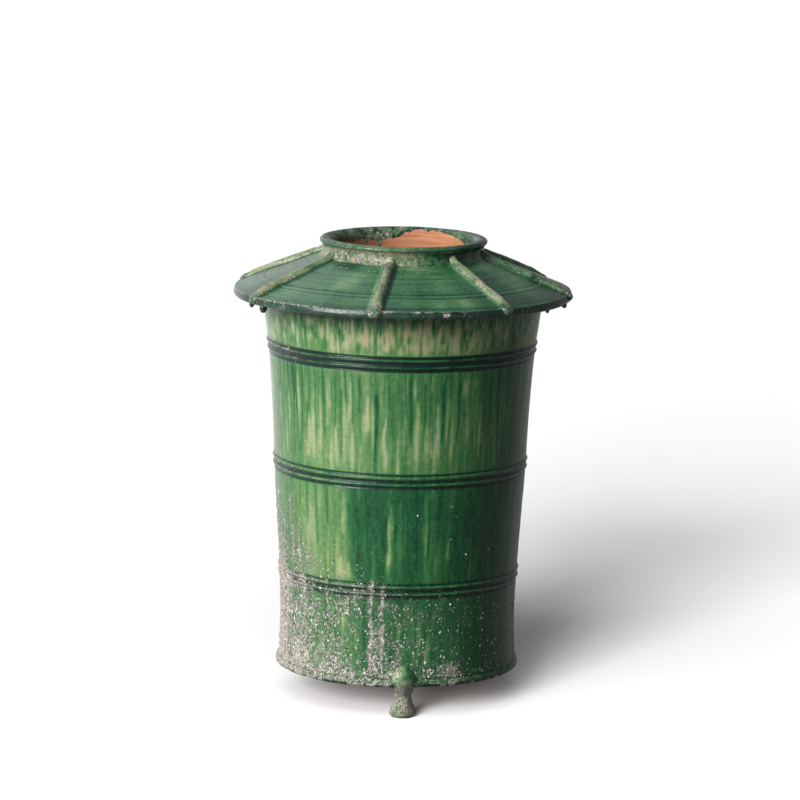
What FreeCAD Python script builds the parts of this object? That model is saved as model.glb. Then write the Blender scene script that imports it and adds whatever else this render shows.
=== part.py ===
import FreeCAD, Part
import math
import os

V = FreeCAD.Vector

# Glazed pottery granary jar, millimetres, +Z up. The origin is on the jar's axis, on the surface
# that the feet stand on. Bearings are degrees round the axis from the front foot, which is at -Y,
# and they grow towards +X.

# Drum: radii of its outer line from the base up, and the rise from each place to the next
foot_clearance = 22.4
wall_foot_r = 81.7
waist_r = 81.0
low_band_r = 82.1
mid_band_r = 87.0
upper_zone_r = 88.7
top_band_r = 91.9
shoulder_r = 94.6
wall_top_r = 97.2
waist_rise = 34.0
low_band_rise = 32.3
mid_band_rise = 76.3
upper_zone_rise = 39.4
top_band_rise = 41.3
shoulder_rise = 20.7
wall_top_rise = 20.1
wall_thickness = 7.0

# Luted joints close up when the clay shrinks, so no gap is left in them
luted_gap = 0.0

# Base disc
base_flare = 2.4
base_edge_height = 5.2
raised_floor = 1.5
base_edge_round = 1.8

# Bowstring bands: two half-round ribs between three shallow grooves
rib_height = 3.4
rib_proud = 1.1
groove_width = 1.1
groove_depth = 0.45

# Roof: the incised rings are measured in from the eave
eave_overhang = 19.0
eave_edge = 4.8
eave_round = 1.1
eave_lip_width = 3.3
roof_rise = 24.2
roof_thickness = 5.2
lower_ring_in = 17.3
middle_ring_in = 21.7
upper_ring_in = 41.2
ring_width = 1.4
ring_depth = 0.45

# Mouth collar: widths are measured out from the mouth, heights up from the roof
mouth_r = 48.0
spigot_wall = 3.0
collar_foot_wall = 6.6
collar_waist_wall = 5.4
collar_waist_up = 2.4
lip_wall = 9.6
lip_up = 9.2
lip_tuck = 0.7
lip_tuck_drop = 2.0
collar_height = 11.2
rim_flat_outer = 6.8
rim_flat_inner = 4.4
throat_drop = 4.2
lip_bulge = 0.42

# Roof ridges: laid by hand, so the bearings are uneven
ridge_bearings = (-110.8, -64.0, -13.0, 33.5, 74.7, 118.3, 162.0, 205.6)
ridge_top_half_width = 3.2
ridge_low_half_width = 3.6
ridge_crest = 4.7
ridge_end_half_width = 4.2
ridge_end_inset = 0.9
ridge_end_drop = 0.6

# Feet: three, set by hand. Each section has two half sizes, the distance of its middle in
# from the wall's foot line, and a height above the floor, or for the knee above the drum's underside
foot_bearings = (0.0, 125.0, 228.0)
sole_draw_in = 1.0
paw_height = 3.4
paw_half_width = 9.0
paw_half_depth = 8.4
paw_inset = 12.1
shank_height = 14.8
shank_half_width = 5.9
shank_half_depth = 6.0
shank_inset = 9.7
knee_up = 3.0
knee_half_width = 9.0
knee_half_depth = 8.2
knee_inset = 3.6
knee_shoulder_up = 9.2
knee_shoulder_half_width = 7.9
knee_shoulder_half_depth = 6.4
knee_shoulder_inset = 2.2
knee_top_up = 14.6
knee_top_half_width = 3.6
knee_top_half_depth = 1.8
knee_top_inset = 1.6
section_points = 12

# Soft coils pressed into the inside corners, where the wall is straight
coil_size = 6.0
coil_margin = 1.5
coil_hollow = 0.4

# Glaze beads under the eave: bearing and radius of each
large_bead_r = 2.6
small_bead_r = 1.75
tiny_bead_r = 1.3
beads = ((-67.4, small_bead_r), (-59.2, large_bead_r), (55.2, tiny_bead_r), (71.2, small_bead_r))
bead_stretch_ratio = 1.35
bead_inset = 2.4
bead_sink_ratio = 0.5

# Places worked out from the sizes above
base_edge_r = wall_foot_r + base_flare
eave_r = wall_top_r + eave_overhang
collar_foot_r = mouth_r + collar_foot_wall
base_z = foot_clearance
wall_foot_z = base_z + base_edge_height
floor_z = wall_foot_z + raised_floor
waist_z = base_z + waist_rise
low_band_z = waist_z + low_band_rise
mid_band_z = low_band_z + mid_band_rise
upper_zone_z = mid_band_z + upper_zone_rise
top_band_z = upper_zone_z + top_band_rise
shoulder_z = top_band_z + shoulder_rise
wall_top_z = shoulder_z + wall_top_rise
roof_slope = roof_rise / (eave_r - collar_foot_r)
spigot_r = mouth_r + spigot_wall


def over(length_out, up):
    """Point of an outline: distance from the axis and height."""
    return V(length_out, 0, up)


def line(start, end):
    return Part.LineSegment(start, end).toShape()


def arc(start, middle, end):
    return Part.Arc(start, middle, end).toShape()


def turned(edges):
    """Solid turned round the jar's axis from a closed outline."""
    outline = Part.Wire(Part.__sortEdges__(edges))
    return Part.Face(outline).revolve(V(0, 0, 0), V(0, 0, 1), 360)


def at_bearing(shape, bearing):
    """A shape made at the front, carried round the axis."""
    moved = shape.copy()
    moved.rotate(V(0, 0, 0), V(0, 0, 1), bearing)
    return moved


def rounded_corner(before, corner, after, radius):
    """Arc that rounds a corner, with the two points where it leaves the sides."""
    to_before = (before - corner).normalize()
    to_after = (after - corner).normalize()
    half = to_before.getAngle(to_after) / 2
    leave = radius / math.tan(half)
    centre = corner + (to_before + to_after).normalize() * (radius / math.sin(half))
    start = corner + to_before * leave
    end = corner + to_after * leave
    middle = centre + (corner - centre).normalize() * radius
    return start, arc(start, middle, end), end


roof_drop = roof_thickness / math.cos(math.atan(roof_slope))


def roof_under(radius):
    """Height of the roof's underside at a distance from the axis. It rests on the wall's top edge."""
    return wall_top_z + roof_slope * (wall_top_r - radius)


def roof_top(radius):
    """Height of the roof's top surface at a distance from the axis."""
    return roof_under(radius) + roof_drop


ledge_z = roof_top(collar_foot_r)
eave_top_z = roof_top(eave_r)
eave_low_z = eave_top_z - eave_edge


def smooth_curve(stations):
    """Smooth outline through named radii, whose parameter is the height itself."""
    curve = Part.BSplineCurve()
    points = [over(radius, height) for height, radius in stations]
    curve.interpolate(Points=points, Parameters=[height for height, radius in stations])
    return curve


wall_stations = (
    (wall_foot_z, wall_foot_r),
    (waist_z, waist_r),
    (low_band_z, low_band_r),
    (mid_band_z, mid_band_r),
    (upper_zone_z, upper_zone_r),
    (top_band_z, top_band_r),
    (shoulder_z, shoulder_r),
    (wall_top_z, wall_top_r),
)
band_heights = (low_band_z, mid_band_z, top_band_z)


def band_edges(curve, centre_z):
    """Grooves and ribs of one bowstring band, from its lower edge to its upper edge."""
    steps = (
        (groove_width, -groove_depth),
        (rib_height, rib_proud),
        (groove_width, -groove_depth),
        (rib_height, rib_proud),
        (groove_width, -groove_depth),
    )
    low = centre_z - sum(height for height, proud in steps) / 2
    edges = []
    height_now = low
    for height, proud in steps:
        start = curve.value(height_now)
        end = curve.value(height_now + height)
        middle = curve.value(height_now + height / 2) + V(proud, 0, 0)
        edges.append(arc(start, middle, end))
        height_now += height
    return low, height_now, edges


def make_wall():
    """Drum wall: banded outside, smooth inside, bevelled on top to the roof's pitch."""
    outside = smooth_curve(wall_stations)
    edges = []
    height_now = wall_foot_z
    for band_z in band_heights:
        low, high, band = band_edges(outside, band_z)
        edges.append(outside.toShape(height_now, low))
        edges += band
        height_now = high
    edges.append(outside.toShape(height_now, wall_top_z))

    low_inner_r = wall_foot_r - wall_thickness
    top_inner_r = wall_top_r - wall_thickness
    low_z = floor_z + coil_size + coil_margin
    high_z = roof_under(top_inner_r) - coil_size - coil_margin
    inside = smooth_curve(
        ((low_z, low_inner_r),)
        + tuple((z, r - wall_thickness) for z, r in wall_stations[2:-1])
        + ((high_z, top_inner_r),)
    )
    inner_top = over(top_inner_r, roof_under(top_inner_r))
    edges.append(line(over(wall_top_r, wall_top_z), inner_top))
    edges.append(line(inner_top, over(top_inner_r, high_z)))
    edges.append(inside.toShape(low_z, high_z))
    edges.append(line(over(low_inner_r, low_z), over(low_inner_r, wall_foot_z)))
    edges.append(line(over(low_inner_r, wall_foot_z), over(wall_foot_r, wall_foot_z)))
    return turned(edges)


def make_base_disc():
    """Floor slab: the wall stands on its edge, round the raised floor."""
    floor_r = wall_foot_r - wall_thickness - luted_gap
    low_corner = over(base_edge_r, base_z)
    high_corner = over(base_edge_r, wall_foot_z)
    centre_low = over(0, base_z)
    step = over(floor_r, wall_foot_z)
    low_start, low_arc, low_end = rounded_corner(centre_low, low_corner, high_corner, base_edge_round)
    high_start, high_arc, high_end = rounded_corner(low_corner, high_corner, step, base_edge_round)
    edges = [
        line(centre_low, low_start),
        low_arc,
        line(low_end, high_start),
        high_arc,
        line(high_end, step),
        line(step, over(floor_r, floor_z)),
        line(over(floor_r, floor_z), over(0, floor_z)),
        line(over(0, floor_z), centre_low),
    ]
    return turned(edges)


def seam_coil(corner, inner, on_wall):
    """Soft coil in a corner, smoothed hollow between its two edges."""
    chord_middle = (inner + on_wall) / 2
    hollow = chord_middle + (corner - chord_middle) * coil_hollow
    return turned([line(corner, inner), arc(inner, hollow, on_wall), line(on_wall, corner)])


def make_floor_seam_coil():
    """Soft coil smoothed into the corner of wall and floor."""
    outer_r = wall_foot_r - wall_thickness
    corner = over(outer_r, floor_z)
    return seam_coil(corner, corner - V(coil_size, 0, 0), corner + V(0, 0, coil_size))


def make_roof_seam_coil():
    """Soft coil smoothed into the corner of wall and roof."""
    outer_r = wall_top_r - wall_thickness
    inner_r = outer_r - coil_size
    corner = over(outer_r, roof_under(outer_r))
    return seam_coil(corner, over(inner_r, roof_under(inner_r)), corner - V(0, 0, coil_size))


def make_roof():
    """Conical roof shell: incised rings on top, an upright eave edge, a hole for the collar."""
    hole_r = spigot_r + luted_gap
    hole_top = over(hole_r, ledge_z)
    hole_low = over(hole_r, roof_under(hole_r))
    here = over(collar_foot_r, ledge_z)
    edges = [line(hole_top, here)]
    for ring_in in sorted((lower_ring_in, middle_ring_in, upper_ring_in), reverse=True):
        ring_r = eave_r - ring_in
        start = over(ring_r - ring_width / 2, roof_top(ring_r - ring_width / 2))
        end = over(ring_r + ring_width / 2, roof_top(ring_r + ring_width / 2))
        bottom = over(ring_r, roof_top(ring_r) - ring_depth)
        edges += [line(here, start), arc(start, bottom, end)]
        here = end
    top_corner = over(eave_r, eave_top_z)
    low_corner = over(eave_r, eave_low_z)
    under_start = over(eave_r - eave_lip_width, roof_under(eave_r - eave_lip_width))
    top_start, top_arc, top_end = rounded_corner(here, top_corner, low_corner, eave_round)
    low_start, low_arc, low_end = rounded_corner(top_corner, low_corner, under_start, eave_round)
    edges += [
        line(here, top_start),
        top_arc,
        line(top_end, low_start),
        low_arc,
        line(low_end, under_start),
        line(under_start, hole_low),
        line(hole_low, hole_top),
    ]
    return turned(edges)


def bulged_arc(start, end, corner):
    """Arc from start to end that bulges towards the corner of their two tangents."""
    chord_middle = (start + end) / 2
    return arc(start, chord_middle + (corner - chord_middle) * lip_bulge, end)


def make_mouth_collar():
    """Collar: a spigot in the roof's hole, a foot on the roof, a flared lip with a flat crest."""
    crest_z = ledge_z + collar_height
    lip_z = ledge_z + lip_up
    foot = over(collar_foot_r, ledge_z)
    waist = over(mouth_r + collar_waist_wall, ledge_z + collar_waist_up)
    lip = over(mouth_r + lip_wall, lip_z)
    rim_out = over(mouth_r + rim_flat_outer, crest_z)
    rim_in = over(mouth_r + rim_flat_inner, crest_z)
    bore_top = over(mouth_r, crest_z - throat_drop)
    bore_low = over(mouth_r, roof_under(spigot_r))
    spigot_low = over(spigot_r, roof_under(spigot_r))
    spigot_top = over(spigot_r, ledge_z)
    flare = Part.BSplineCurve()
    flare.interpolate(Points=[foot, waist, lip - V(lip_tuck, 0, lip_tuck_drop), lip])
    edges = [
        flare.toShape(),
        bulged_arc(lip, rim_out, over(lip.x, crest_z)),
        line(rim_out, rim_in),
        bulged_arc(rim_in, bore_top, over(mouth_r, crest_z)),
        line(bore_top, bore_low),
        line(bore_low, spigot_low),
        line(spigot_low, spigot_top),
        line(spigot_top, foot),
    ]
    return turned(edges)


def make_ridge(bearing, roof, collar):
    """Half-round strip down the roof, with a bulged end over the eave."""
    start = V(0, -spigot_r, roof_top(spigot_r) + ridge_crest - ridge_top_half_width)
    end_r = eave_r - ridge_end_inset
    end = V(0, -end_r, roof_top(end_r) + ridge_crest - ridge_low_half_width)
    run = end - start
    strip = Part.makeCone(ridge_top_half_width, ridge_low_half_width, run.Length, start, run)
    knob = Part.makeSphere(ridge_end_half_width, end - V(0, 0, ridge_end_drop))
    whole = at_bearing(strip.fuse(knob), bearing)
    return whole.cut(roof).cut(collar)


def foot_section(height, inset, half_width, half_depth):
    """Oval slice of the front foot at a height."""
    points = []
    for step in range(section_points):
        turn = 2 * math.pi * step / section_points
        x = half_width * math.cos(turn)
        y = inset - wall_foot_r + half_depth * math.sin(turn)
        points.append(V(x, y, height))
    oval = Part.BSplineCurve()
    oval.interpolate(Points=points, PeriodicFlag=True)
    return Part.Wire(oval.toShape())


def make_foot(bearing, wall, disc):
    """Leg with a paw, a narrow shank and a knee luted on the wall's lower edge."""
    sole_half_width = paw_half_width - sole_draw_in
    sole_half_depth = paw_half_depth - sole_draw_in
    bend_z = base_z + knee_shoulder_up
    sections = [
        foot_section(0, paw_inset, sole_half_width, sole_half_depth),
        foot_section(paw_height, paw_inset, paw_half_width, paw_half_depth),
        foot_section(shank_height, shank_inset, shank_half_width, shank_half_depth),
        foot_section(base_z + knee_up, knee_inset, knee_half_width, knee_half_depth),
        foot_section(bend_z, knee_shoulder_inset, knee_shoulder_half_width, knee_shoulder_half_depth),
        foot_section(base_z + knee_top_up, knee_top_inset, knee_top_half_width, knee_top_half_depth),
    ]
    leg = at_bearing(Part.makeLoft(sections, True, False), bearing)
    inside_r = wall_foot_r - wall_thickness / 2
    inside = Part.makeCylinder(inside_r, wall_top_z, V(0, 0, base_z + base_edge_height / 2))
    return leg.cut(inside).cut(wall).cut(disc)


def make_beads(roof, ridges):
    """Glaze beads that hang from the eave's lower edge, clear of the ridge ends."""
    stretch = FreeCAD.Matrix()
    stretch.scale(1, 1, bead_stretch_ratio)
    hanging = []
    for bearing, radius in beads:
        bead = Part.makeSphere(radius).transformGeometry(stretch)
        bead.translate(V(0, bead_inset - eave_r, eave_low_z - radius * bead_sink_ratio))
        bead = at_bearing(bead, bearing).cut(roof)
        for ridge in ridges:
            bead = bead.cut(ridge)
        hanging.append(bead)
    return Part.makeCompound(hanging)


def main():
    os.makedirs("parts", exist_ok=True)
    wall = make_wall()
    disc = make_base_disc()
    roof = make_roof()
    collar = make_mouth_collar()
    ridges = [make_ridge(bearing, roof, collar) for bearing in ridge_bearings]
    pieces = {
        "wall": wall,
        "base_disc": disc,
        "floor_seam_coil": make_floor_seam_coil(),
        "roof_seam_coil": make_roof_seam_coil(),
        "roof": roof,
        "mouth_collar": collar,
        "eave_glaze_drips": make_beads(roof, ridges),
    }
    for number, ridge in enumerate(ridges, 1):
        pieces[f"roof_ridge_{number}"] = ridge
    for name, bearing in zip(("foot_front", "foot_rear_right", "foot_rear_left"), foot_bearings):
        pieces[name] = make_foot(bearing, wall, disc)
    for name, shape in pieces.items():
        shape.exportStep(f"parts/{name}.step")
        box = shape.BoundBox
        print(name, shape.isValid(), len(shape.Solids), round(shape.Volume, 1),
              round(box.ZMin, 2), round(box.ZMax, 2), round(max(box.XMax, box.YMax), 2))


main()
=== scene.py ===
"""Green-glazed pottery granary jar, dressed over its solids.

The makers' functions work in millimetres, and the meshes are in metres. Bearings are degrees
round the jar's axis from the front foot, which is at -Y, and they grow towards +X.
"""

import math

import bpy
import numpy as np
from bpy.props import FloatProperty, FloatVectorProperty, IntProperty, PointerProperty
from mathutils import Matrix, Vector


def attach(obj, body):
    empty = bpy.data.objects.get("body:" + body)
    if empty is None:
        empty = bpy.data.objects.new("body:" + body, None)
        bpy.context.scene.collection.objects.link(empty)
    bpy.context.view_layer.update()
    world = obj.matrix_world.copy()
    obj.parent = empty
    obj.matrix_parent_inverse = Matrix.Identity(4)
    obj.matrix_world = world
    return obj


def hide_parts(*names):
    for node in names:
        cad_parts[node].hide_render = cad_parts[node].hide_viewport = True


bl_info = {
    "name": "Pottery granary jar",
    "version": (1, 0, 0),
    "blender": (4, 5, 0),
    "location": "3D View > Sidebar > Granary Jar",
    "description": "Builds a green-glazed pottery granary jar and its studio",
    "category": "Add Mesh",
}

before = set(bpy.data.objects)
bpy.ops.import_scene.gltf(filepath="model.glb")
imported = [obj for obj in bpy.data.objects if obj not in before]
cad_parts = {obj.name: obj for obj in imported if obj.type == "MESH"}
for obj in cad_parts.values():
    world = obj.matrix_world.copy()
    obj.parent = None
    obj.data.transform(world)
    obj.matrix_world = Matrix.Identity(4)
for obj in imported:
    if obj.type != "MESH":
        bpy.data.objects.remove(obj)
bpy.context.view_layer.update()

TO_MM = 1000
CLOUD_ROWS = 256

# Drum outline, (height, radius), and the middle heights of its three bands
DRUM_LINE = (
    (27.6, 81.7), (56.4, 81), (88.7, 82.1), (165, 87), (204.4, 88.7), (245.7, 91.9), (266.4, 94.6),
    (286.5, 97.2),
)
WALL_FOOT, WALL_TOP = DRUM_LINE[0][0], DRUM_LINE[-1][0]
BAND_HEIGHTS = (88.7, 165, 245.7)
BAND_HALF = 5.4
WALL_THICKNESS = 7

# Cut through one band: height from its middle, and how far it stands proud of the drum
BAND_CUT = (
    (-5.4, 0), (-5.1, -0.2), (-4.6, -0.45), (-3.9, -0.4), (-3.1, 0.15), (-2.5, 0.75), (-2.1, 1.02),
    (-1.7, 0.98), (-1.35, 0.5), (-0.9, -0.1), (-0.3, -0.4), (0.5, -0.3), (1.5, 0.2), (2.3, 0.72), (2.8, 1),
    (3.2, 0.98), (3.6, 0.5), (4.1, -0.15), (4.6, -0.4), (5.1, -0.15), (5.4, 0),
)

# Roof: a cone of this pitch from the ledge round the collar to the eave
ROOF_PITCH = 24.2 / 61.6
LEDGE = (54.6, 308.82)
ROOF_DROP = 5.587
EAVE_RADIUS = 116.15
ROOF_HOLE = 51
EAVE_TOP, EAVE_LOW = 284.62, 279.82
INCISED_RINGS = ((75, 0.16), (94.5, 0.42), (98.9, 0.36))

RIDGE_BEARINGS = (-110.8, -64, -13, 33.5, 74.7, 118.3, 162, 205.6)

# Depth of the glaze on each ridge, which one has a crusted top, and how far each end droops below
# the middle of the eave's edge
RIDGE_DEPTHS = (0.28, 0.30, 0.34, 0.26, 0.54, 0.62, 0.44, 0.44)
CRUSTED_RIDGE = 3
RIDGE_DROOPS = (0.6, 1.6, 1.9, 0.9, 0.7, 1.2, 0.8, 1.5)
FOOT_BEARINGS = {"foot_front": 0, "foot_rear_right": 125, "foot_rear_left": 228}

# Foot slices: height, distance of the middle from the axis, half width, half depth
FOOT_SLICES = (
    (0, 69.6, 7.6, 7.2), (1.2, 69.6, 8.7, 8.2), (3.4, 69.6, 9, 8.4), (6.2, 70, 7.9, 7.7),
    (10, 71, 6.5, 6.6), (14.8, 72, 5.9, 6), (20, 75, 7.2, 7.1), (25.4, 78.1, 8.8, 8.2),
    (31.6, 79.5, 7.9, 6.4), (37, 80.1, 3.4, 1.8),
)

# Base disc's outline from the middle of its underside to the middle of the floor: (height, radius)
DISC_LINE = (
    (22.4, 0), (22.4, 20), (22.4, 45), (22.4, 66), (22.4, 78), (22.45, 81.4),
    (22.75, 82.8), (23.4, 83.7), (24.2, 84.1), (25.2, 84.05), (26.2, 83.7), (27, 83.2),
    (27.6, 82.7), (27.7, 76), (29.1, 74.6), (29.1, 60), (29.1, 30), (29.1, 0),
)

# Eave's edge from the roof's top down to its underside: (radius, height). Its upper half leans back.
EAVE_EDGE = (
    (115.16, EAVE_TOP + 0.26), (115.36, EAVE_TOP - 0.2), (115.55, EAVE_TOP - 0.75),
    (115.74, EAVE_TOP - 1.35), (115.92, EAVE_TOP - 1.95), (116.06, EAVE_TOP - 2.6),
    (EAVE_RADIUS, EAVE_LOW + 1.5), (116.05, EAVE_LOW + 0.7), (115.6, EAVE_LOW + 0.15),
    (114.9, EAVE_LOW), (113.6, EAVE_LOW + 0.25),
)

# Mouth collar's cut, from its spigot's foot up the outside and down the inside: (radius, height)
MOUTH_LINE = (
    (51, 304.7), (51, 306.6), (52, 307.3), (55.5, 307.2), (58.4, 307.1), (58.1, 307.6),
    (57, 308.4), (56.1, 309.4), (55.5, 310.6), (55.2, 311.8), (55.2, 313.1), (55.4, 314.4),
    (55.8, 315.4), (56.5, 316.2), (57.2, 316.9), (57.55, 317.6), (57.5, 318.3), (57.1, 319),
    (56.4, 319.55), (55.6, 319.88), (54.8, 320), (53.8, 320.02), (52.8, 319.98), (51.8, 319.75),
    (50.8, 319.3), (49.9, 318.6), (49.1, 317.7), (48.5, 316.7), (48.15, 315.6), (48, 314.4),
    (48, 312), (48, 309), (48, 306.5), (48, 304.7),
)
MOUTH_ROWS, MOUTH_COLUMNS = 118, 500

# Foot of a ridge along the roof, from the collar to the eave's edge: (distance from the axis, height)
RIDGE_LINE = (
    (52.4, 309.4), (56, 307.9), (70, 302.5), (90, 294.6), (108, 287.6), (112.6, 285.7),
    (114.6, 284.6), (115.6, 283.4), (116, 282.2),
)

# Depth of the glaze along each zone of the drum, from the lowest zone up: (bearing, depth)
ZONE_DEPTHS = (
    ((-180, 0.6), (-130, 0.52), (-85, 0.5), (-50, 0.5), (-30, 0.53), (-15, 0.64), (0, 0.74), (12, 0.72),
     (24, 0.7), (36, 0.78), (60, 0.84), (90, 0.72), (130, 0.62), (180, 0.6)),
    ((-180, 0.58), (-120, 0.62), (-80, 0.46), (-60, 0.46), (-54, 0.39), (-43, 0.38), (-38, 0.48),
     (-35, 0.46), (-30, 0.42), (-26, 0.66), (-20, 0.74), (-12, 0.8), (-8, 0.62), (-3, 0.72), (4, 0.78),
     (10, 0.66), (18, 0.72), (26, 0.76), (34, 0.84), (60, 0.86), (100, 0.66), (140, 0.52), (180, 0.58)),
    ((-180, 0.46), (-120, 0.4), (-80, 0.44), (-60, 0.46), (-46, 0.4), (-30, 0.37), (-19, 0.38), (-13, 0.41),
     (-5, 0.45), (2, 0.47), (10, 0.5), (18, 0.54), (32, 0.6), (60, 0.66), (100, 0.52), (140, 0.4),
     (180, 0.46)),
    ((-180, 0.38), (-120, 0.34), (-80, 0.42), (-50, 0.38), (-26, 0.32), (-14, 0.37), (0, 0.34), (14, 0.34),
     (26, 0.38), (50, 0.5), (90, 0.42), (140, 0.34), (180, 0.38)),
)

# Glaze runs seen on the drum: bearing, upper end, lower end, half width, and how much deeper
# (or, below zero, thinner) the glaze lies there
GLAZE_RUNS = (
    (-49, 236, 214, 0.9, -0.3), (-48.2, 210, 174, 1.9, -0.42), (-45, 212, 172, 1, -0.22),
    (-54.5, 232, 186, 0.9, -0.2), (-58.5, 238, 176, 1.4, 0.22), (-62.5, 232, 178, 0.8, -0.2),
    (-52, 240, 192, 1.3, 0.2), (-41.5, 222, 184, 1, -0.22), (-39, 236, 190, 0.9, 0.18),
    (-36, 234, 206, 1, -0.26), (-33.5, 204, 172, 1.8, -0.3), (-30.5, 226, 178, 0.9, 0.22),
    (-28.5, 222, 176, 1.8, -0.22), (-25.5, 206, 171, 2.2, -0.24), (-22, 236, 208, 1.2, 0.2),
    (-20.2, 214, 190, 1.4, -0.18), (-18, 226, 196, 1.7, -0.34), (-14.6, 224, 168, 1.7, 0.34),
    (-12.2, 232, 204, 1.1, -0.14), (-10.6, 208, 170, 2, -0.4), (-7.6, 240, 192, 2.2, 0.12),
    (-3.6, 240, 200, 2.8, 0.12), (-1.2, 240, 222, 0.9, -0.26), (0.6, 236, 188, 1.8, 0.2),
    (2, 236, 222, 1, -0.36), (3.8, 222, 171, 2.4, -0.34), (6.6, 232, 200, 1.1, 0.26),
    (8.2, 208, 172, 1.5, -0.26), (9.6, 238, 226, 0.9, -0.26), (12.4, 222, 176, 1.6, -0.4),
    (14.6, 232, 190, 1.3, 0.26), (17.6, 226, 204, 1.1, -0.24), (19.2, 208, 176, 1.5, -0.26),
    (22, 232, 186, 1.6, 0.2), (24.5, 238, 222, 1.5, -0.34), (26.8, 216, 190, 1.3, -0.3),
    (30, 238, 228, 1.2, -0.3), (33.5, 220, 184, 1.5, -0.28), (38, 238, 210, 1.3, 0.14),
    (-24.2, 282, 263, 1.2, -0.36), (-18.6, 281, 257, 1.6, -0.44), (-21.6, 284, 268, 0.8, 0.34),
    (-15.2, 276, 258, 1.5, -0.3), (-12.6, 284, 262, 0.9, 0.36), (-9, 280, 257, 2.2, -0.24),
    (-2.6, 280, 257, 1.5, -0.38), (0.6, 284, 266, 0.9, 0.3), (3.4, 279, 262, 1, -0.3),
    (5.2, 282, 256, 1.3, -0.42), (8.8, 284, 262, 1, 0.28), (12, 276, 256, 1.4, -0.24),
    (-30, 284, 262, 1.2, 0.26), (-33.5, 280, 258, 0.9, -0.24), (-37, 284, 262, 0.9, 0.26),
    (-40, 282, 258, 1.1, -0.22), (-43.5, 284, 259, 0.8, 0.28), (-46, 282, 258, 1, -0.18),
    (-8.4, 142, 98, 1.3, -0.4), (-7.8, 124, 104, 2, -0.24), (-0.8, 158, 104, 0.9, -0.16),
    (8.4, 158, 108, 1.4, -0.24), (4.4, 158, 96, 1.4, 0.18), (19.6, 126, 108, 1.6, -0.34),
    (14, 132, 96, 1.3, -0.18), (-48.5, 158, 118, 4.4, -0.06), (-29.6, 158, 124, 2.2, -0.16),
    (-31.5, 112, 96, 3.2, -0.26), (-27, 108, 94, 2.6, -0.34), (-22.5, 150, 104, 2, 0.12),
    (-38.5, 158, 130, 1.4, 0.2), (-30, 84, 58, 4, -0.24), (11, 60, 32, 2, -0.3), (6, 84, 40, 2.2, -0.14),
    (1, 84, 64, 3, -0.12), (-6.5, 62, 34, 2, 0.16),
)

# Runs strewn over each zone all round: how many, upper ends, lengths, half widths, strengths.
# Thin ones open downwards, between the drips. Thick ones are drips, and narrow downwards.
STREWN_RUNS = (
    (46, (60, 84), (18, 40), (0.7, 1.9), (-0.24, -0.08)),
    (60, (84, 85), (14, 48), (0.6, 1.6), (0.06, 0.22)),
    (44, (112, 158), (26, 56), (0.8, 2.6), (-0.26, -0.06)),
    (64, (158, 160), (22, 62), (0.7, 1.9), (0.06, 0.22)),
    (120, (196, 238), (24, 56), (0.7, 1.7), (-0.32, -0.08)),
    (130, (238, 240), (20, 64), (0.6, 1.5), (0.08, 0.26)),
    (130, (268, 284), (12, 28), (0.5, 1.2), (-0.34, -0.1)),
    (150, (284, 287), (10, 28), (0.45, 0.95), (0.12, 0.36)),
)

# Columns of lime crust on the drum: bearing, upper end, lower end, half width, cover
CRUST_COLUMNS = (
    (-16.4, 96, 28, 1.5, 0.62), (-11, 94, 28, 1.7, 0.62), (-13.8, 62, 28, 3.6, 0.34),
    (-39.5, 100, 52, 1.4, 0.3), (-3.5, 54, 28, 6, 0.2), (-64, 148, 100, 3.4, 0.46),
    (-57.5, 132, 104, 3, 0.4), (-74, 200, 168, 4, 0.34), (-35.5, 122, 100, 1.6, 0.34),
    (-52, 112, 96, 5, 0.26), (22, 38, 27, 8, 0.3), (-25, 90, 76, 5, 0.24),
)

# Paler and deeper patches of the roof's glaze: bearing, distance from the axis, half width in
# degrees, half breadth, and how much deeper the glaze lies there
ROOF_PATCHES = (
    (-30, 84, 7, 9, -0.36), (-27, 72, 9, 7, -0.22), (-44, 98, 14, 12, -0.10),
    (-20, 102, 8, 8, -0.12), (14, 80, 5, 14, -0.22), (20, 106, 4, 7, -0.30),
    (10, 108, 3, 5, -0.2), (52, 92, 8, 10, -0.22), (60, 80, 8, 9, -0.18),
    (-40, 62, 9, 4, 0.16), (2, 98, 8, 10, 0.06), (8, 62, 16, 7, -0.30), (44, 66, 14, 9, -0.14),
    (130, 90, 12, 16, -0.24), (-140, 80, 10, 14, -0.28), (170, 100, 9, 9, -0.2),
)

# Lower edge of the glaze inside the mouth, with two drips at the back left: (bearing, height)
MOUTH_GLAZE_EDGE = (
    (-180, 313.6), (-172, 312.6), (-166.5, 310.6), (-163.7, 305), (-161, 309.4), (-155.5, 312.2),
    (-151.6, 309.2), (-147, 312.4), (-141, 311.4), (-128, 312), (-100, 310), (-60, 308), (0, 308),
    (60, 309), (100, 309.2), (112, 311.4), (120, 313.6), (132, 316.4), (146, 318.2), (162, 318.4),
    (174, 317), (180, 313.6),
)

# Beads of glaze under the eave: (bearing, radius)
BEADS = ((-67.4, 1.75), (-59.2, 2.6), (55.2, 1.3), (71.2, 1.75))

# Lights on the floor alone: name, bearing, height and softness in degrees, and share of the strength
FLOOR_LIGHTS = (("floor_key", -24, 38, 50, 1), ("floor_low_key", -24, 17, 26, 2.62))


class JarDrumSizes(bpy.types.PropertyGroup):
    """Drum of the jar."""

    rows: IntProperty(
        name="Rows", description="Rows of points up the plain stretches of the drum's outside", default=104)
    columns: IntProperty(name="Columns", description="Points round the drum", default=600)
    rib_share: FloatProperty(
        name="Rib height share", description="How far the bands stand proud, as a share of their cut",
        default=1, subtype="FACTOR")
    unevenness: FloatProperty(
        name="Unevenness", description="How far the hand-thrown drum strays from round",
        default=0.00035, unit="LENGTH")


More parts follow.
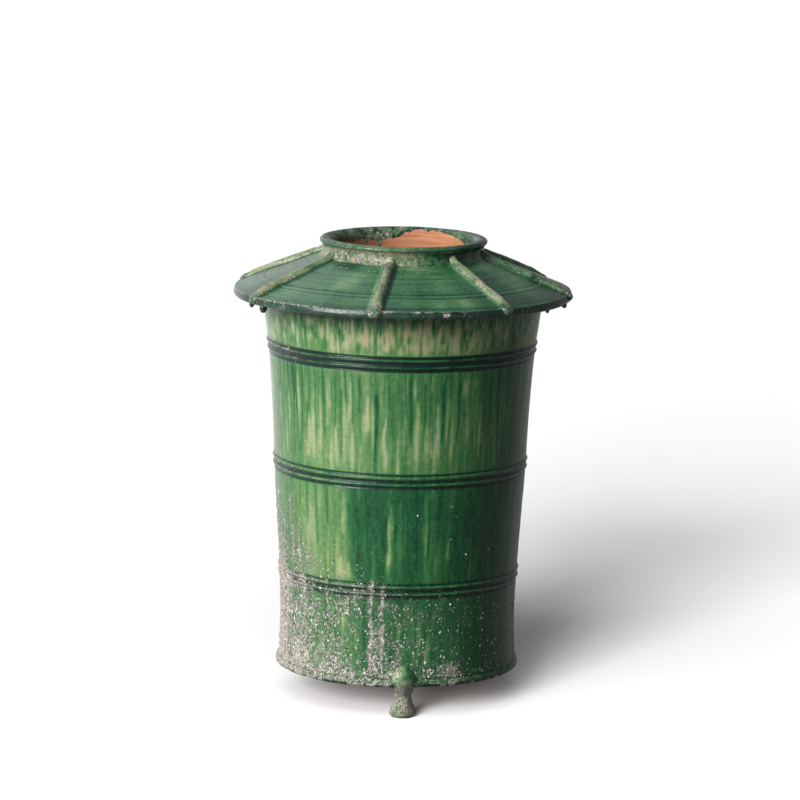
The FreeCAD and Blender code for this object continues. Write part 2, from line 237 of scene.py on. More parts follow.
class JarRoofSizes(bpy.types.PropertyGroup):
    """Roof, ridges and mouth of the jar."""

    columns: IntProperty(name="Columns", description="Points round the roof", default=620)
    ring_depth: FloatProperty(
        name="Ring depth", description="Depth of the incised rings", default=0.00045, unit="LENGTH")
    ridge_height: FloatProperty(
        name="Ridge height", description="Height of the ridges above the roof",
        default=0.0041, unit="LENGTH")
    ridge_half_width: FloatProperty(
        name="Ridge half width", description="Half width of a ridge at the roof",
        default=0.0037, unit="LENGTH")


class JarGlazeColours(bpy.types.PropertyGroup):
    """Colours of the glaze from thin to pooled, and of what is not glazed."""

    thin: FloatVectorProperty(
        name="Thin glaze", description="Glaze that barely covers the clay", subtype="COLOR",
        default=(0.52, 0.47, 0.28))
    straw: FloatVectorProperty(
        name="Straw glaze", description="Thin yellow-green glaze", subtype="COLOR",
        default=(0.33, 0.43, 0.22))
    leaf: FloatVectorProperty(
        name="Leaf glaze", description="Light green glaze", subtype="COLOR", default=(0.155, 0.30, 0.11))
    moss: FloatVectorProperty(
        name="Moss glaze", description="Middle green glaze", subtype="COLOR", default=(0.062, 0.205, 0.068))
    emerald: FloatVectorProperty(
        name="Emerald glaze", description="Deep clear green glaze", subtype="COLOR",
        default=(0.018, 0.13, 0.042))
    forest: FloatVectorProperty(
        name="Forest glaze", description="Thick dark green glaze", subtype="COLOR",
        default=(0.007, 0.055, 0.024))
    pooled: FloatVectorProperty(
        name="Pooled glaze", description="Glaze that filled a groove", subtype="COLOR",
        default=(0.006, 0.02, 0.017))
    clay: FloatVectorProperty(
        name="Bare clay", description="Unglazed red earthenware", subtype="COLOR",
        default=(0.56, 0.24, 0.12))
    lime: FloatVectorProperty(
        name="Lime crust", description="White crust from the soil", subtype="COLOR",
        default=(0.58, 0.55, 0.49))


class JarStudio(bpy.types.PropertyGroup):
    """Light and camera."""

    key_bearing: FloatProperty(
        name="Key bearing", description="Bearing that the jar's soft key light comes from",
        default=math.radians(-51), subtype="ANGLE")
    key_height: FloatProperty(
        name="Key height", description="Angle of the jar's key light above the floor",
        default=math.radians(28), subtype="ANGLE")
    key_softness: FloatProperty(
        name="Key softness", description="Angle that the jar's key light fills", default=math.radians(36),
        subtype="ANGLE")
    key_strength: FloatProperty(
        name="Key strength", description="Strength of the jar's key light", default=4.15)
    shadow_strength: FloatProperty(
        name="Floor light strength", description="Strength of the two lights on the floor", default=2.2)
    fill_strength: FloatProperty(
        name="Fill strength", description="Strength of the even light from the room", default=0.1)
    camera_lens: FloatProperty(
        name="Lens", description="Focal length in millimetres", default=198.8)


def eased(value, low, high):
    """0 below low, 1 above high, smooth between them. It also runs backwards, from a high to a low."""
    share = np.clip((value - low) / (high - low), 0, 1)
    return share * share * (3 - 2 * share)


def cloud(bearing, height, wide, tall, seed):
    """Smooth random field from 0 to 1 that closes round the jar. Its spots are wide degrees by tall mm."""
    columns = max(3, round(360 / wide))
    values = np.random.default_rng(seed).random((CLOUD_ROWS, columns))
    bearing, height = np.broadcast_arrays(np.asarray(bearing, float), np.asarray(height, float))
    across = bearing % 360 / 360 * columns
    up = height / tall + 64
    left, low = np.floor(across).astype(int), np.floor(up).astype(int)
    go_right, go_up = eased(across - left, 0, 1), eased(up - low, 0, 1)

    def row(step):
        here = values[(low + step) % CLOUD_ROWS, left % columns]
        there = values[(low + step) % CLOUD_ROWS, (left + 1) % columns]
        return here * (1 - go_right) + there * go_right

    return row(0) * (1 - go_up) + row(1) * go_up


def spots(amount, *place):
    """The cloud, from minus half the amount to half of it."""
    return amount * (cloud(*place) - 0.5)


def round_jar(columns):
    """Bearings of the columns of a mesh that runs all round."""
    return np.linspace(-180, 180, columns, endpoint=False)[None, :]


def apart(bearing, middle):
    """Degrees from the middle to the bearing, the short way round."""
    return (bearing - middle + 180) % 360 - 180


def hump(value, middle, half_width):
    """1 at the middle and next to nothing two half widths away."""
    return np.exp(-(((value - middle) / half_width) ** 2))


def facing(bearing):
    """Unit vectors out from the axis and to the right of it, for whom stands in front."""
    turn = np.radians(bearing)
    level = 0 * turn
    return (np.stack((np.sin(turn), -np.cos(turn), level), axis=-1),
            np.stack((np.cos(turn), np.sin(turn), level), axis=-1))


def off_axis(bearing, out, sideways, height):
    """Points that lie out from the axis at one bearing and then to the side of it."""
    outward, rightward = facing(bearing)
    grid = out[..., None] * outward + sideways[..., None] * rightward
    grid[..., 2] = height
    return grid


def waver(bearing, amount, wide, seed, height=0, tall=40):
    """Slow drift round the jar, from minus the amount to the amount."""
    slow = cloud(bearing, height, wide, tall, seed)
    quick = cloud(bearing, height, wide / 2.7, tall / 2.7, seed + 1)
    return amount * (1.4 * slow + 0.6 * quick - 1)


def smooth_line(height, stations):
    """Radius at a height on the smooth line through (height, radius) stations."""
    z, r = np.array(stations, float).T
    slope = np.gradient(r, z)
    i = np.clip(np.searchsorted(z, height) - 1, 0, len(z) - 2)
    span = z[i + 1] - z[i]
    t = np.clip((height - z[i]) / span, 0, 1)
    start = (1 + 2 * t) * (1 - t) ** 2 * r[i] + t * (1 - t) ** 2 * span * slope[i]
    return start + t * t * (3 - 2 * t) * r[i + 1] + t * t * (t - 1) * span * slope[i + 1]


def path_lengths(line):
    """Way along a line of points from its first point to each."""
    return np.concatenate(([0], np.cumsum(np.hypot(*np.diff(line, axis=0).T))))


def on_jar(radius, bearing, height):
    """Points from distances to the axis, bearings and heights."""
    radius, turn, height = np.broadcast_arrays(radius, np.radians(bearing), height)
    return np.stack((radius * np.sin(turn), -radius * np.cos(turn), height), axis=-1)


def skin(name, grid, ring=False, fields=None):
    """Closed mesh over a grid of points in mm. Its columns run round the piece.

    Its rows form a ring, or end in a middle point at either end. The fields are values for the
    finish, one for each point of the grid.
    """
    rows, columns = grid.shape[:2]
    points = grid.reshape(-1, 3)
    here = np.arange(rows * columns).reshape(rows, columns)
    beside = np.roll(here, -1, axis=1)
    if ring:
        above, above_beside = np.roll(here, -1, axis=0), np.roll(beside, -1, axis=0)
        quads = np.stack((here, beside, above_beside, above), axis=-1).reshape(-1, 4).tolist()
    else:
        quads = np.stack((here[:-1], beside[:-1], beside[1:], here[1:]), axis=-1).reshape(-1, 4).tolist()
        first, last = rows * columns, rows * columns + 1
        points = np.vstack((points, grid[0].mean(axis=0), grid[-1].mean(axis=0)))
        quads += [(first, b, a) for a, b in zip(here[0].tolist(), beside[0].tolist())]
        quads += [(last, a, b) for a, b in zip(here[-1].tolist(), beside[-1].tolist())]
    mesh = bpy.data.meshes.new(name)
    mesh.from_pydata((points / TO_MM).tolist(), [], quads)
    mesh.shade_smooth()
    for field, values in (fields or {}).items():
        values = np.broadcast_to(values, (rows, columns))
        flat = values.reshape(-1)
        if not ring:
            flat = np.append(flat, (values[0].mean(), values[-1].mean()))
        mesh.attributes.new(field, "FLOAT", "POINT").data.foreach_set("value", flat.astype(np.float32))
    jar_piece = bpy.data.objects.new(name, mesh)
    bpy.context.scene.collection.objects.link(jar_piece)
    return jar_piece


def set_in_place(jar_piece, finish, slot, *nodes):
    """Gives a piece its finish, its body and the nodes that it stands for."""
    jar_piece.data.materials.clear()
    jar_piece.data.materials.append(finish)
    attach(jar_piece, "root")
    if nodes:
        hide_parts(*nodes)
    return jar_piece


def band_relief(height, bearing):
    """How far the drum's bands stand proud, with the waver of a hand-cut tool."""
    cut_height, cut_proud = np.array(BAND_CUT).T
    relief = 0
    for number, middle in enumerate(BAND_HEIGHTS):
        drift = waver(bearing, 0.28, 40, 31 + number)
        depth = 1 + waver(bearing, 0.16, 26, 41 + number)
        relief = relief + depth * np.interp(height - middle - drift, cut_height, cut_proud, 0, 0)
    return relief * bpy.context.scene.jar_drum.rib_share


def drum_radius(height, bearing):
    """Radius of the drum's outside, with its bands, throwing lines and glaze."""
    uneven = bpy.context.scene.jar_drum.unevenness * TO_MM
    radius = smooth_line(height, DRUM_LINE) + band_relief(height, bearing)
    radius = (radius + 1.2 * np.exp(-np.maximum(height - WALL_FOOT, 0) / 1.4)
              + waver(bearing, uneven, 70, 3, height, 90)
              + spots(0.10, 0, height + waver(bearing, 1.2, 60, 8), 360, 3.4, 5))
    runs = cloud(bearing, height, 3.1, 46, 12) + 0.5 * cloud(bearing, height, 1.3, 24, 13)
    return radius + 0.14 * (runs - 0.75)


def runs_over(height, bearing, radius, runs, ragged, seed=300):
    """Sum of soft upright runs. Thick ones narrow downwards to a drip, thin ones open downwards."""
    height, bearing, radius = np.broadcast_arrays(height, bearing, radius)
    total = np.zeros(height.shape)
    for number, (middle, top, low, half_width, strength) in enumerate(runs):
        away = np.radians(apart(bearing, middle)) * radius
        near = (np.abs(away) < 3.2 * half_width) & (height > low - ragged - 3) & (height < top + ragged + 3)
        z, across = height[near], away[near]
        across = across + 0.9 * half_width * (cloud(0, z, 360, 15, seed + number) - 0.5)
        edge = ragged * (cloud(bearing[near], 0, 1, 1, seed + number) - 0.5)
        down = np.clip((top - z) / (top - low), 0, 1)
        if strength > 0:
            width = half_width * (1 - 0.62 * down ** 1.3)
            along = eased(z, top + 2, top - 1) * eased(z, low + 0.5 * edge, low + 4 + 0.5 * edge)
        else:
            width = half_width * (0.34 + 0.66 * eased(down, 0, 0.75))
            along = eased(z, top + edge, top - 5 + edge) * eased(z, low - 2, low + 0.3 * (top - low))
        total[near] += strength * along * hump(across, 0, width)
    return total


def strewn(rng, count, tops, lengths, widths, strengths):
    """Runs strewn round the drum, as even in their places as hand-dipped ones."""
    steps = (np.arange(count) + rng.uniform(-0.42, 0.42, count)) * 360 / count - 180
    for bearing in steps:
        top = rng.uniform(*tops)
        yield bearing, top, top - rng.uniform(*lengths), rng.uniform(*widths), rng.uniform(*strengths)


def drum_glaze(height, bearing, radius):
    """Depth of the glaze on the drum: 0 barely covers the clay, 1 is pooled. The dark band just under the
    eave is partly a painted shadow.
    """
    low, middle, top = BAND_HEIGHTS
    zones = (height > low).astype(int) + (height > middle) + (height > top)
    by_zone = [np.interp(apart(bearing, 0), *np.array(line, float).T) for line in ZONE_DEPTHS]
    depth = np.choose(zones + 0 * bearing.astype(int), by_zone)
    depth = (depth + spots(0.10, bearing, height, 2.2, 60, 51)
             + spots(0.10, bearing, height, 1.1, 30, 52)
             + spots(0.12, bearing, height, 11, 60, 53))
    rng = np.random.default_rng(50)
    for number, (count, *ways) in enumerate(STREWN_RUNS):
        runs = strewn(rng, count, *ways)
        depth = depth + runs_over(height, bearing, radius, runs, 4, 1000 + 200 * number)
    depth = depth + runs_over(height, bearing, radius, GLAZE_RUNS, 5)
    least = 0.17 - 0.17 * eased(height, 244, 256)
    depth = np.where(depth < least, least + 0.3 * (depth - least), depth)
    depth = np.where(depth > 0.76, 0.76 + 0.3 * (depth - 0.76), depth)
    upper = eased(height, 250, 256)
    mottles = cloud(bearing, height, 1.5, 4.6, 54) + cloud(bearing, height, 0.9, 8, 55) - 1
    # Its last term deepens the glaze in the top 13 mm under the eave: partly glaze pooled there, partly a
    # painted shadow of the eave
    depth = (depth + upper * 0.46 * mottles
             + 0.4 * eased(height, 273, 286) * cloud(bearing, 0, 1.6, 1, 56))
    relief = band_relief(height, bearing)
    near_band = sum(eased(np.abs(height - z), BAND_HALF + 0.8, BAND_HALF - 0.8) for z in BAND_HEIGHTS)
    pooled = eased(relief, 0.62, 0) * near_band
    depth = depth * (1 - pooled) + 0.97 * pooled
    crest = eased(relief, 0.82, 0.99)
    depth = depth * (1 - crest) + (0.36 + 0.5 * cloud(bearing, height, 3, 9, 57)) * crest
    return depth + 0.24 * near_band * (height > 200)


def drum_crust(height, bearing, radius):
    """Cover of lime crust on the drum, from 0 to 1."""
    back = eased(bearing, -170, -120)
    leftward = eased(bearing, -36, -76) * back
    lower = eased(height, 98, 72)
    cover = 0.38 * leftward * eased(height, 158, 88)
    cover = (cover + 0.24 * eased(bearing, -68, -84) * back * eased(height, 236, 120)
             + 0.16 * eased(height, 132, 92) * eased(bearing, 4, -30) * back
             + lower * (0.13 + 0.12 * eased(bearing, 46, -8) * back)
             + 0.26 * eased(height, 44, 26) * eased(bearing, 64, 10) * back)
    patches = 0.4 + 0.7 * cloud(bearing, height, 6, 20, 61) + 0.5 * cloud(bearing, height, 2.2, 6, 62)
    cover = cover * patches
    near_band = sum(eased(np.abs(height - z), BAND_HALF + 2, BAND_HALF - 1) for z in BAND_HEIGHTS)
    cover = cover + 0.34 * near_band * eased(bearing, -40, -68) * back * cloud(bearing, height, 3, 5, 63)
    crest = eased(band_relief(height, bearing), 0.7, 0.95)
    cover = cover + 0.34 * crest * eased(bearing, 4, -26) * back
    return cover + runs_over(height, bearing, radius, CRUST_COLUMNS, 6, 700)


def roof_top_height(radius):
    """Height of the roof's top surface at a distance from the axis."""
    return LEDGE[1] - ROOF_PITCH * (radius - LEDGE[0])


def roof_underside_height(radius):
    """Height of the roof's underside at a distance from the axis."""
    return roof_top_height(radius) - ROOF_DROP


def eave_waver(bearing):
    """Rise and fall of the hand-trimmed eave."""
    return waver(bearing, 0.22, 34, 71)


class Nodes:
    """Node tree in which each call adds a node and gives back its output."""

    def __init__(self, tree):
        self.tree = tree

    def add(self, kind, **settings):
        node = self.tree.nodes.new(kind)
        for setting, value in settings.items():
            setattr(node, setting, value)
        return node

    def feed(self, socket, value):
        if isinstance(value, bpy.types.NodeSocket):
            self.tree.links.new(value, socket)
        else:
            socket.default_value = value

    def maths(self, operation, first, second=0, third=0):
        node = self.add("ShaderNodeMath", operation=operation)
        for socket, value in zip(node.inputs, (first, second, third)):
            self.feed(socket, value)
        return node.outputs[0]

    def span(self, value, low, high, to_low=0, to_high=1):
        node = self.add("ShaderNodeMapRange", interpolation_type="SMOOTHSTEP")
        for socket, number in zip(node.inputs, (value, low, high, to_low, to_high)):
            self.feed(socket, number)
        return node.outputs[0]

    def seen_or_lit(self, place, light_end, dark_end, lit, seen, output):
        """Shows one shader to the rays that see the backdrop itself, and lights with the other.

        Those are camera, see-through and glossy rays. The glossy ones see it darken along X, from
        the light end to the dark end, as in a studio that is dark on that side.
        """
        path = self.add("ShaderNodeLightPath").outputs
        across = self.add("ShaderNodeSeparateXYZ")
        self.feed(across.inputs[0], self.add("ShaderNodeTexCoord").outputs[place])
        side = self.span(across.outputs["X"], light_end, dark_end, 1, 0.2)
        share = self.maths("MULTIPLY", side, path["Is Glossy Ray"])
        for ray in ("Is Camera Ray", "Is Transmission Ray"):
            share = self.maths("MAXIMUM", share, path[ray])
        either = self.add("ShaderNodeMixShader")
        for socket, value in zip(either.inputs, (share, lit, seen)):
            self.feed(socket, value)
        self.feed(self.tree.nodes[output].inputs["Surface"], either.outputs[0])


class Finish(Nodes):
    """Node tree of one finish, with its place in the jar's own frame."""

    def __init__(self, name):
        self.material = bpy.data.materials.new(name)
        self.material.use_nodes = True
        super().__init__(self.material.node_tree)
        self.shader = self.tree.nodes["Principled BSDF"]
        self.place = self.add("ShaderNodeTexCoord").outputs["Object"]

    def field(self, name):
        return self.add("ShaderNodeAttribute", attribute_name=name).outputs["Fac"]

    def scaled(self, per_mm, shift=(0, 0, 0)):
        node = self.add("ShaderNodeMapping")
        self.feed(node.inputs["Vector"], self.place)
        self.feed(node.inputs["Scale"], [share * TO_MM for share in per_mm])
        self.feed(node.inputs["Location"], shift)
        return node.outputs[0]

    def turned(self, round_mm, out_mm):
        """Place on a turned surface: across it in cells round the axis, and out from the axis."""
        flat = self.scaled((1, 1, 0))
        way = self.add("ShaderNodeVectorMath", operation="NORMALIZE")
        self.feed(way.inputs[0], flat)
        length = self.add("ShaderNodeVectorMath", operation="LENGTH")
        self.feed(length.inputs[0], flat)
        around = self.add("ShaderNodeVectorMath", operation="SCALE")
        self.feed(around.inputs[0], way.outputs[0])
        self.feed(around.inputs["Scale"], 90 / round_mm)
        out = self.add("ShaderNodeCombineXYZ")
        self.feed(out.inputs["Z"], self.maths("DIVIDE", length.outputs["Value"], out_mm))
        both = self.add("ShaderNodeVectorMath", operation="ADD")
        self.feed(both.inputs[0], around.outputs[0])
        self.feed(both.inputs[1], out.outputs[0])
        return both.outputs[0]

    def noise(self, place, detail=3, roughness=0.55, distortion=0):
        node = self.add("ShaderNodeTexNoise")
        for socket, value in (("Vector", place), ("Scale", 1), ("Detail", detail),
                              ("Roughness", roughness), ("Distortion", distortion)):
            self.feed(node.inputs[socket], value)
        return node.outputs["Fac"]

    def strayed(self, value, noise, share):
        """The value, pushed up and down by a noise that lies round one half."""
        return self.maths("MULTIPLY_ADD", self.maths("SUBTRACT", noise, 0.5), share, value)

    def ramp(self, value, *stops):
        node = self.add("ShaderNodeValToRGB")
        self.feed(node.inputs[0], value)
        marks = node.color_ramp.elements
        while len(marks) < len(stops):
            marks.new(1)
        for mark, (position, colour) in zip(marks, stops):
            mark.position = position
            mark.color = (*colour, 1)
        return node.outputs["Color"]

    def mixed(self, share, one, other, kind="MIX"):
        node = self.add("ShaderNodeMix", data_type="RGBA", blend_type=kind, clamp_factor=True)
        self.feed(node.inputs[0], share)
        for socket, colour in ((node.inputs[6], one), (node.inputs[7], other)):
            self.feed(socket, colour if isinstance(colour, bpy.types.NodeSocket) else (*colour, 1))
        return node.outputs[2]

    def finish(self, colour, roughness, relief, relief_depth, level=0.4):
        self.feed(self.shader.inputs["Base Color"], colour)
        self.feed(self.shader.inputs["Roughness"], roughness)
        self.feed(self.shader.inputs["Specular IOR Level"], level)
        bump = self.add("ShaderNodeBump")
        self.feed(bump.inputs["Strength"], 1)
        self.feed(bump.inputs["Distance"], relief_depth / TO_MM)
        self.feed(bump.inputs["Height"], relief)
        self.feed(self.shader.inputs["Normal"], bump.outputs[0])
        return self.material


def clay_colour(finish, throwing):
    """Bare earthenware with throwing lines and sandy specks."""
    clay = bpy.context.scene.jar_colours.clay
    lines = finish.noise(throwing, 3, 0.6)
    colour = finish.ramp(lines, (0.3, [0.72 * c for c in clay]), (0.52, clay),
                         (0.72, [min(1, 1.28 * c) for c in clay]))
    specks = finish.span(finish.noise(finish.scaled((1.5, 1.5, 1.5)), 4, 0.7), 0.62, 0.72)
    return finish.mixed(specks, colour, (0.25, 0.10, 0.055))


def glazed_finish(name, streaks, runs_share, brushed=None, tint=(1, 1, 1), gloss=0.16, level=0.25,
                  mottles=0.34, mottling=0.42):
    """Lead glaze over clay, from the fields glaze, crust and clay of its mesh.

    streaks and brushed give the places that its fine streaks and brushed lines are drawn on.
    mottles is how many of its mottles lie in a millimetre, and mottling how far they change the depth.
    """
    colours = bpy.context.scene.jar_colours
    finish = Finish(name)
    fine = finish.noise(streaks(finish), 4, 0.62, 0.9)
    mottle = finish.noise(finish.scaled((mottles, mottles, 0.85 * mottles)), 6, 0.66)
    depth = finish.strayed(finish.field("glaze"), fine, runs_share)
    depth = finish.strayed(depth, mottle, mottling)
    lines = finish.noise(finish.scaled((0.02, 0.02, 0.9)) if brushed is None else brushed(finish), 3, 0.6)
    depth = finish.strayed(depth, lines, 0.08 if brushed is None else 0.4)
    stops = ((0, colours.thin), (0.17, colours.straw), (0.36, colours.leaf), (0.54, colours.moss),
             (0.72, colours.emerald), (0.88, colours.forest), (1, colours.pooled))
    colour = finish.ramp(depth, *((at, [a * b for a, b in zip(shade, tint)]) for at, shade in stops))
    warm = finish.span(finish.noise(finish.scaled((0.09, 0.09, 0.03), (7, 3, 1)), 2), 0.5, 0.72)
    colour = finish.mixed(finish.maths("MULTIPLY", warm, 0.3), colour,
                          finish.mixed(1, colour, (1.2, 1.02, 0.66), "MULTIPLY"))

    clay_share = finish.span(finish.strayed(finish.field("clay"), mottle, 0.5), 0.47, 0.55)
    clay = clay_colour(finish, finish.scaled((0.03, 0.03, 0.55)))
    colour = finish.mixed(clay_share, colour, clay)

    # Lime crust: grains that grow together where its cover is high, in a thin grey haze
    grain = finish.noise(finish.scaled((0.62, 0.62, 0.56)), 5, 0.72)
    patches = finish.noise(finish.scaled((0.16, 0.16, 0.11)), 4, 0.65)
    cover = finish.maths("MULTIPLY_ADD", finish.field("crust"), 0.27, grain)
    cover = finish.strayed(cover, patches, 0.36)
    crust = finish.span(cover, 0.655, 0.69)
    crust = finish.maths("MULTIPLY", crust, finish.span(finish.field("crust"), 0, 0.05))
    lime = colours.lime
    # The ramp's near-black low end is painted shade in the gaps between the crust's grains
    lime_with_shaded_gaps = finish.ramp(finish.noise(finish.scaled((0.8, 0.8, 0.8), (3, 1, 4)), 5, 0.76),
                              (0.35, (0.03, 0.035, 0.03)), (0.42, [0.45 * c for c in lime]), (0.50, lime),
                              (0.57, [0.98 * lime[0], 0.80 * lime[1], 0.70 * lime[2]]),
                              (0.64, (0.92, 0.91, 0.87)))
    haze = finish.maths("MULTIPLY", finish.span(finish.field("crust"), 0.08, 0.9, 0, 0.6),
                        finish.span(patches, 0.36, 0.58))
    colour = finish.mixed(haze, colour, (0.25, 0.31, 0.25))
    colour = finish.mixed(crust, colour, lime_with_shaded_gaps)
    # Pits: dents painted near-black, the painted shade in them
    shaded_pits = finish.span(finish.noise(finish.scaled((0.85, 0.85, 0.7), (9, 9, 2)), 3, 0.74), 0.565, 0.615)
    shaded_pits = finish.maths("MULTIPLY", shaded_pits, finish.span(finish.field("crust"), 0.05, 0.45, 0.08, 1))
    colour = finish.mixed(shaded_pits, colour, (0.012, 0.018, 0.013))

    rough = finish.span(mottle, 0.3, 0.7, gloss * 0.8, gloss * 1.35)
    dull = finish.maths("MAXIMUM", crust, clay_share)
    dull = finish.maths("MAXIMUM", dull, finish.maths("MULTIPLY", haze, 0.7))
    rough = finish.maths("MULTIPLY_ADD", dull, 0.62, rough)
    peel = finish.noise(finish.scaled((0.7, 0.7, 0.5)), 2, 0.5)
    relief = finish.maths("MULTIPLY_ADD", fine, 0.35, finish.maths("MULTIPLY", peel, 0.16))
    relief = finish.maths("MULTIPLY_ADD", lines, 0.12, relief)
    relief = finish.maths("MULTIPLY_ADD", finish.maths("MULTIPLY", crust, grain), 1.8, relief)
    relief = finish.maths("MULTIPLY_ADD", shaded_pits, -0.8, relief)
    return finish.finish(colour, rough, relief, 0.22, level)


def upright(finish):
    """Place for streaks that run down an upright wall."""
    return finish.scaled((0.34, 0.34, 0.055))


def sloping(finish):
    """Place for streaks that run down the roof."""
    return finish.turned(2.2, 30)


def brushed_round(finish):
    """Place for lines that a brush or a finger left round the axis."""
    return finish.turned(26, 0.9)


def add_floor():
    """Pale floor, a sheet of paper that is white to the camera."""
    half = 12
    low = -0.0002
    mesh = bpy.data.meshes.new("studio_floor")
    corners = [(-half, -half, low), (half, -half, low), (half, half, low), (-half, half, low)]
    mesh.from_pydata(corners, [], [(0, 1, 2, 3)])
    floor = bpy.data.objects.new("studio_floor", mesh)
    bpy.context.scene.collection.objects.link(floor)
    paper = bpy.data.materials.new("white_paper")
    paper.use_nodes = True
    nodes = Nodes(paper.node_tree)
    nodes.tree.nodes.remove(nodes.tree.nodes["Principled BSDF"])
    shades = []
    for shade in (0.12, 0.97):
        diffuse = nodes.add("ShaderNodeBsdfDiffuse")
        nodes.feed(diffuse.inputs["Color"], (shade, shade, shade, 1))
        shades.append(diffuse.outputs[0])
    nodes.seen_or_lit("Object", -0.35, 0.12, *shades, "Material Output")
    mesh.materials.append(paper)
    return floor


def add_surroundings(studio):
    """Even light from the room, and a white backdrop."""
    world = bpy.data.worlds.new("white_studio")
    bpy.context.scene.world = world
    world.use_nodes = True
    nodes = Nodes(world.node_tree)
    whites = []
    for light, strength in ((nodes.tree.nodes["Background"], studio.fill_strength),
                            (nodes.add("ShaderNodeBackground"), 1)):
        nodes.feed(light.inputs["Color"], (1, 1, 1, 1))
        nodes.feed(light.inputs["Strength"], strength)
        whites.append(light.outputs[0])
    nodes.seen_or_lit("Generated", -0.2, 0.12, *whites, "World Output")


def add_sun(name, bearing, height, softness, strength, floor, floor_state):
    """One soft light, for the floor alone or for everything but the floor."""
    light = bpy.data.lights.new(name, "SUN")
    light.energy = strength
    light.angle = softness
    sun = bpy.data.objects.new(name, light)
    towards = Vector((math.sin(bearing) * math.cos(height), -math.cos(bearing) * math.cos(height),
                      math.sin(height)))
    sun.location = towards * 3
    sun.rotation_mode = "QUATERNION"
    sun.rotation_quaternion = towards.to_track_quat("Z", "Y")
    bpy.context.scene.collection.objects.link(sun)
    lit = bpy.data.collections.new(name + "_lights")
    lit.objects.link(floor)
    sun.light_linking.receiver_collection = lit
    lit.collection_objects[0].light_linking.link_state = floor_state


def add_camera(studio):
    """Camera that stands where the photograph's stood."""
    distance, height = 3, 0.7213
    bearing, pitch, roll = math.radians(-3.8), math.radians(9.74), math.radians(1.0156)
    back = Vector((math.sin(bearing), -math.cos(bearing), 0))
    forward = -back * math.cos(pitch) - Vector((0, 0, math.sin(pitch)))
    right = forward.cross(Vector((0, 0, 1))).normalized()
    up = right.cross(forward)
    turned_right = math.cos(roll) * right + math.sin(roll) * up
    turned_up = math.cos(roll) * up - math.sin(roll) * right
    stand = Matrix((turned_right, turned_up, -forward)).transposed().to_4x4()
    stand.translation = back * distance + Vector((0, 0, height))
    lens = bpy.data.cameras.new("studio_camera")
    lens.lens = studio.camera_lens
    lens.sensor_width = 36
    lens.shift_x = -0.00125
    lens.clip_end = 60
    camera = bpy.data.objects.new("studio_camera", lens)
    camera.matrix_world = stand
    bpy.context.scene.collection.objects.link(camera)
    bpy.context.scene.camera = camera


class JAR_OT_stage(bpy.types.Operator):
    """Adds the pale floor, the white surroundings, the soft lights and the camera"""

    bl_idname = "jar.stage"
    bl_label = "Studio"

    def execute(self, context):
        studio = context.scene.jar_studio
        floor = add_floor()
        add_surroundings(studio)
        add_sun("jar_key", studio.key_bearing, studio.key_height, studio.key_softness,
                studio.key_strength, floor, "EXCLUDE")
        for name, *angles, share in FLOOR_LIGHTS:
            add_sun(name, *map(math.radians, angles), share * studio.shadow_strength, floor, "INCLUDE")
        add_camera(studio)
        return {"FINISHED"}


def throw_wall(sizes, finish):
    """Hollow wall with its bands, glazed outside and bare inside."""
    plain = np.linspace(WALL_FOOT, WALL_TOP, sizes.rows)
    banded = [np.linspace(z - BAND_HALF - 0.6, z + BAND_HALF + 0.6, 22) for z in BAND_HEIGHTS]
    away = np.min([np.abs(plain - z) for z in BAND_HEIGHTS], axis=0)
    heights = np.sort(np.concatenate([plain[away > BAND_HALF + 1.2], *banded]))[:, None]
    bearings = round_jar(sizes.columns)
    outer = drum_radius(heights, bearings)
    glaze = drum_glaze(heights, bearings, outer)
    crust = drum_crust(heights, bearings, outer)
    clay = 0.3 * eased(heights, 29, 27.5) * eased(cloud(bearings, heights, 8, 5, 64), 0.6, 0.9)

    inner_z = np.array((289.2, 270, 240, 200, 160, 120, 80, 45, WALL_FOOT))[:, None]
    inner = smooth_line(np.minimum(inner_z, WALL_TOP), DRUM_LINE) - WALL_THICKNESS
    inner = inner + waver(bearings, 0.3, 30, 66, inner_z)
    radius = np.vstack((outer, inner))
    grid = on_jar(radius, bearings, np.vstack((heights, inner_z)))
    blank = np.zeros(inner.shape)
    fields = {"glaze": np.vstack((glaze, blank + 0.5)), "crust": np.vstack((crust, blank)),
              "clay": np.vstack((clay, blank + 1))}
    set_in_place(skin("drum_wall", grid, True, fields), finish, "green_glaze", "wall")


def throw_disc(sizes, finish):
    """Base disc with its trimmed edge and a dark line along it."""
    heights, radii = (side[1:-1, None] for side in np.array(DISC_LINE).T)
    bearings = round_jar(sizes.columns)
    edge = eased(radii, 74, 82)
    trim = waver(bearings, 0.45, 22, 81) - 0.25 + spots(0.3, bearings, heights, 1.6, 1.5, 82)
    radius = radii + edge * trim
    height = heights + edge * waver(bearings, 0.35, 17, 83) * (heights < 26)
    outside = eased(radii, 79, 81.5) * (heights > 22.5)
    bare = eased(cloud(bearings, heights, 9, 9, 84), 0.62, 0.85) * eased(bearings, 4, 24)
    clay = np.where(outside > 0.5, bare * eased(heights, 25, 23.5), 1)
    crust = np.where(radii > 80, drum_crust(np.maximum(heights, 30), bearings, radii), 0.2)
    crust = crust * (1 - 0.6 * eased(heights, 25, 23.8))
    crust = crust + 0.9 * eased(heights, 25.4, 24.2) * eased(radii, 76, 82) * (
        eased(cloud(bearings, 0, 2.6, 4, 85), 0.35, 0.8))
    glaze = drum_glaze(np.maximum(heights, 30), bearings, radii) + 0.5 * eased(heights, 25.4, 24)
    fields = {"glaze": glaze, "crust": crust, "clay": clay + 0 * radius}
    set_in_place(skin("drum_base", on_jar(radius, bearings, height), False, fields), finish,
                 "green_glaze", "base_disc")


class JAR_OT_drum(bpy.types.Operator):
    """Throws the drum wall with its bands, and the base disc under it"""

    bl_idname = "jar.drum"
    bl_label = "Drum"

    def execute(self, context):
        sizes = context.scene.jar_drum
        finish = glazed_finish("drum_glaze", upright, 0.40, gloss=0.15)
        throw_wall(sizes, finish)
        throw_disc(sizes, finish)
        return {"FINISHED"}


